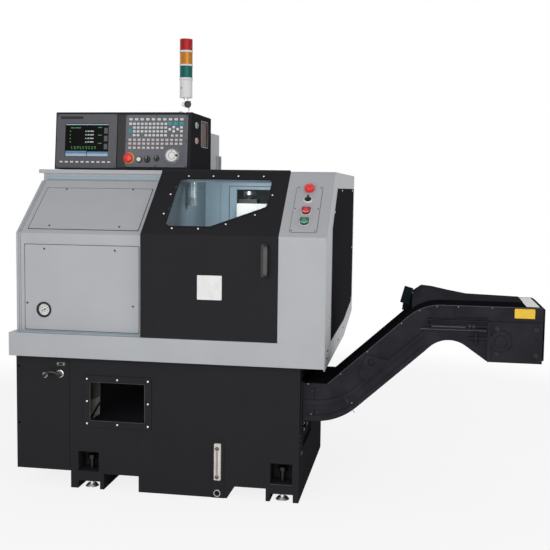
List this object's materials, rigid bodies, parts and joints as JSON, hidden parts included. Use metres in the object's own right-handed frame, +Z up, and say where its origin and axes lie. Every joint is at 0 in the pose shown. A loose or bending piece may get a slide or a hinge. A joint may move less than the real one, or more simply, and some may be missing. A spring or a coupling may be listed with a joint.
{
  "type": "compact CNC turning lathe",
  "caption": "Compact slant-front CNC turning lathe with sliding door, roof-mounted control, signal tower and chip conveyor.",
  "frame": {"origin": "on the floor, under the middle of the whole machine with its conveyor", "axes": "+X along the spindle to the right, +Y to the back, +Z up"},
  "size_m": [2.269, 1.472, 2.023],
  "materials": {
    "black_paint": "fine textured",
    "grey_paint": "satin",
    "chamber_paint": "satin",
    "cabinet_paint": "satin",
    "cast_iron": "machined and painted",
    "steel": "ground",
    "motor_black": "satin",
    "cover_cream": "satin",
    "lamp_glass": "frosted",
    "clear_glass": "clear",
    "gauge_white": "gloss",
    "brass": "plated",
    "black_plastic": "matte",
    "red_plastic": "gloss",
    "green_plastic": "gloss",
    "white_plastic": "gloss",
    "tower_plastic": "gloss",
    "tower_metal": "satin"
  },
  "bodies": {
    "machine": {"base_frame": "black_paint", "side_box": "black_paint", "coolant_tank": "black_paint", "inspection_frame": "black_paint", "side_panel": "black_paint", "conveyor_trough": "black_paint", "conveyor_cover": "black_paint", "motor_hood": "black_paint", "take_up": "black_paint", "splash_tray": "grey_paint", "left_cover": "grey_paint", "left_wall": "grey_paint", "cover_panels": "grey_paint", "roof": "grey_paint", "right_column": "grey_paint", "right_side_wall": "grey_paint", "rear_wall": "grey_paint", "rear_cabinet": "grey_paint", "switch_plate": "grey_paint", "chamber_back_wall": "chamber_paint", "chamber_left_wall": "chamber_paint", "control_cabinet": "cabinet_paint", "screen_module": "cabinet_paint", "key_panel": "cabinet_paint", "bed_casting": "cast_iron", "headstock": "cast_iron", "z_rails": "steel", "door_rails": "steel", "chip_belt": "steel", "levelling_screws": "steel", "z_motor": "motor_black", "work_lamp": "lamp_glass", "inspection_pane": "clear_glass", "level_gauge": "gauge_white", "pressure_gauge": "gauge_white", "air_fittings": "brass", "tower_foot": "tower_metal"},
    "door": {"door_panel": "black_paint", "door_pane": "clear_glass", "door_handle": "black_plastic"},
    "column_stop": {"column_stop": "red_plastic"},
    "column_selector": {"column_selector": "black_plastic"},
    "red_button": {"red_button": "red_plastic"},
    "green_button": {"green_button": "green_plastic"},
    "control_stop": {"control_stop": "red_plastic"},
    "white_button": {"white_button": "white_plastic"},
    "control_knob": {"control_knob": "black_plastic"},
    "control_selector": {"control_selector": "black_plastic"},
    "handwheel": {"handwheel": "white_plastic"},
    "side_green_button": {"side_green_button": "green_plastic"},
    "side_red_button": {"side_red_button": "red_plastic"},
    "spindle": {"spindle": "steel"},
    "z_saddle": {"z_saddle": "cast_iron"},
    "x_slide": {"x_slide": "cover_cream"},
    "z_ball_screw": {"z_ball_screw": "steel"},
    "x_ball_screw": {"x_ball_screw": "steel"},
    "tower": {"tower_body": "tower_plastic"},
    "lock_knob": {"lock_knob": "black_plastic"},
    "conveyor_shaft": {"conveyor_shaft": "steel"},
    "cabinet_door": {"cabinet_door": "grey_paint"}
  },
  "joints": [
    {"name": "door_slide", "type": "slide", "parent": "machine", "child": "door", "axis": [-1, 0, 0], "range_m": [0, 0.52]},
    {"name": "red_button_push", "type": "slide", "parent": "machine", "child": "red_button", "axis": [0, 0.6446, -0.7645], "range_m": [0, 0.004], "stiffness_N_per_m": 400, "springref_m": -0.002},
    {"name": "green_button_push", "type": "slide", "parent": "machine", "child": "green_button", "axis": [0, 0.6446, -0.7645], "range_m": [0, 0.004], "stiffness_N_per_m": 400, "springref_m": -0.002},
    {"name": "white_button_push", "type": "slide", "parent": "machine", "child": "white_button", "axis": [0, 0.995, -0.1002], "range_m": [0, 0.004], "stiffness_N_per_m": 400, "springref_m": -0.002},
    {"name": "side_green_button_push", "type": "slide", "parent": "machine", "child": "side_green_button", "axis": [-1, 0, 0], "range_m": [0, 0.004], "stiffness_N_per_m": 400, "springref_m": -0.002},
    {"name": "side_red_button_push", "type": "slide", "parent": "machine", "child": "side_red_button", "axis": [-1, 0, 0], "range_m": [0, 0.004], "stiffness_N_per_m": 400, "springref_m": -0.002},
    {"name": "column_stop_push", "type": "slide", "parent": "machine", "child": "column_stop", "axis": [0, 0.6446, -0.7645], "range_m": [0, 0.004]},
    {"name": "control_stop_push", "type": "slide", "parent": "machine", "child": "control_stop", "axis": [0, 0.995, -0.1002], "range_m": [0, 0.004]},
    {"name": "column_selector_turn", "type": "hinge", "parent": "machine", "child": "column_selector", "pos_m": [0.1525, -0.52939, 1.2799], "axis": [0, -0.6446, 0.7645], "range_deg": [-45, 45]},
    {"name": "control_knob_turn", "type": "hinge", "parent": "machine", "child": "control_knob", "pos_m": [-0.6445, -0.26709, 1.45775], "axis": [0, -0.995, 0.1002], "range_deg": [-135, 135]},
    {"name": "control_selector_turn", "type": "hinge", "parent": "machine", "child": "control_selector", "pos_m": [-0.5985, -0.26669, 1.46173], "axis": [0, -0.995, 0.1002], "range_deg": [-45, 45]},
    {"name": "handwheel_turn", "type": "hinge", "parent": "machine", "child": "handwheel", "pos_m": [-0.5225, -0.26538, 1.47467], "axis": [0, -0.995, 0.1002], "continuous": true},
    {"name": "spindle_turn", "type": "hinge", "parent": "machine", "child": "spindle", "pos_m": [-0.4105, -0.177, 0.985], "axis": [1, 0, 0], "continuous": true},
    {"name": "z_travel", "type": "slide", "parent": "machine", "child": "z_saddle", "axis": [1, 0, 0], "range_m": [-0.06, 0.06]},
    {"name": "x_travel", "type": "slide", "parent": "z_saddle", "child": "x_slide", "axis": [0, -1, 0], "range_m": [-0.008, 0.13]},
    {"name": "z_screw_turn", "type": "hinge", "parent": "machine", "child": "z_ball_screw", "pos_m": [-0.3955, -0.127, 0.826], "axis": [1, 0, 0], "range_deg": [-2161, 2161]},
    {"name": "x_screw_turn", "type": "hinge", "parent": "z_saddle", "child": "x_ball_screw", "pos_m": [-0.1555, -0.272, 0.882], "axis": [0, -1, 0], "range_deg": [-289, 4681]},
    {"name": "tower_fold", "type": "hinge", "parent": "machine", "child": "tower", "pos_m": [-0.4795, -0.192, 1.719], "axis": [0, 1, 0], "range_deg": [-90, 90]},
    {"name": "lock_knob_turn", "type": "hinge", "parent": "machine", "child": "lock_knob", "pos_m": [-0.4795, -0.192, 1.719], "axis": [0, -1, 0], "range_deg": [-180, 180]},
    {"name": "conveyor_turn", "type": "hinge", "parent": "machine", "child": "conveyor_shaft", "pos_m": [0.9625, -0.642, 0.725], "axis": [0, 1, 0], "continuous": true},
    {"name": "cabinet_door_swing", "type": "hinge", "parent": "machine", "child": "cabinet_door", "pos_m": [-0.5225, 0.72, 0.59], "axis": [0, 0, -1], "range_deg": [0, 110]}
  ],
  "couplings": [
    {"joint": "z_screw_turn", "follows": "z_travel", "rad_per_m": 628.32},
    {"joint": "x_screw_turn", "follows": "x_travel", "rad_per_m": 628.32}
  ]
}
